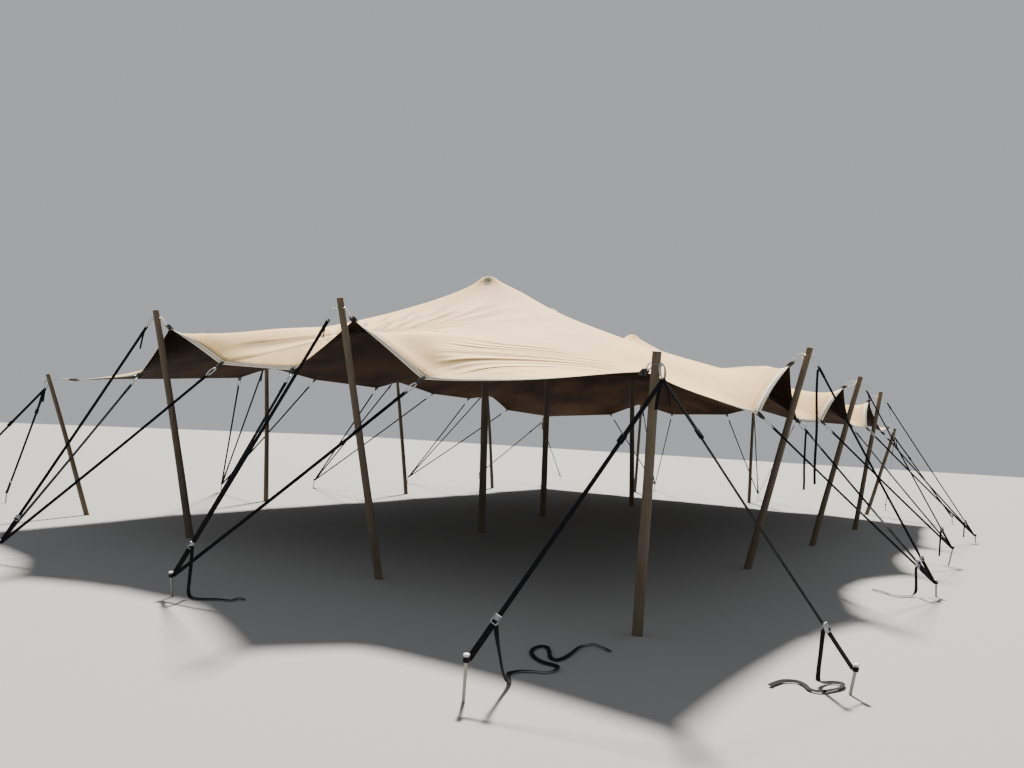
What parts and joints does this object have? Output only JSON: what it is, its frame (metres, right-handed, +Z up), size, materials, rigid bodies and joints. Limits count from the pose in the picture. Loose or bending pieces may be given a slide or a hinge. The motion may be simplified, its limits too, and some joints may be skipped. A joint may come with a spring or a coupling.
{
  "type": "stretch tent",
  "caption": "Open-sided stretch tent: one elastic sheet drawn to rounded peaks over king poles and held out by leaning timber poles, guyed by ratchet straps to steel stakes.",
  "frame": {"origin": "the middle king pole's foot, on the ground", "axes": "+X along the ridge from the front end towards the back end, +Y to the left side, +Z up"},
  "size_m": [21.3895, 15.0048, 4.26],
  "materials": {
    "stretch_fabric": "matt knitted stretch fabric, sand",
    "cap": "dull, dark",
    "timber": "peeled round timber, weathered, with drying cracks",
    "webbing": "woven black strap",
    "stake_steel": "worn steel with pale heads"
  },
  "bodies": {
    "root": {"canopy": "stretch_fabric", "king_cap_front": "cap", "king_cap_middle": "cap", "king_cap_back": "cap", "king_pole_front": "timber", "king_pole_middle": "timber", "king_pole_back": "timber", "side_pole_right_1": "timber", "rigging_right_1": "webbing", "stake_right_1": "stake_steel", "side_pole_right_2": "timber", "rigging_right_2": "webbing", "stake_right_2": "stake_steel", "side_pole_right_3": "timber", "rigging_right_3": "webbing", "stake_right_3": "stake_steel", "side_pole_front_1": "timber", "rigging_front_1": "webbing", "stake_front_1": "stake_steel", "side_pole_front_2": "timber", "rigging_front_2": "webbing", "stake_front_2": "stake_steel", "side_pole_left_1": "timber", "rigging_left_1": "webbing", "stake_left_1": "stake_steel", "side_pole_left_2": "timber", "rigging_left_2": "webbing", "stake_left_2": "stake_steel", "side_pole_left_3": "timber", "rigging_left_3": "webbing", "stake_left_3": "stake_steel", "side_pole_back_1": "timber", "rigging_back_1": "webbing", "stake_back_1": "stake_steel", "side_pole_back_2": "timber", "rigging_back_2": "webbing", "stake_back_2": "stake_steel", "corner_pole_front_right": "timber", "rigging_corner_front_right": "webbing", "stake_corner_front_right_1": "stake_steel", "stake_corner_front_right_2": "stake_steel", "corner_pole_front_left": "timber", "rigging_corner_front_left": "webbing", "stake_corner_front_left_1": "stake_steel", "stake_corner_front_left_2": "stake_steel", "corner_pole_back_right": "timber", "rigging_corner_back_right": "webbing", "stake_corner_back_right_1": "stake_steel", "stake_corner_back_right_2": "stake_steel", "corner_pole_back_left": "timber", "rigging_corner_back_left": "webbing", "stake_corner_back_left_1": "stake_steel", "stake_corner_back_left_2": "stake_steel", "loose_strap_front_right_1": "webbing", "loose_strap_front_right_2": "webbing", "loose_strap_front_1": "webbing", "loose_strap_right_1_ground": "webbing", "loose_strap_right_1_head": "webbing", "loose_strap_right_1_hem": "webbing"}
  },
  "joints": []
}
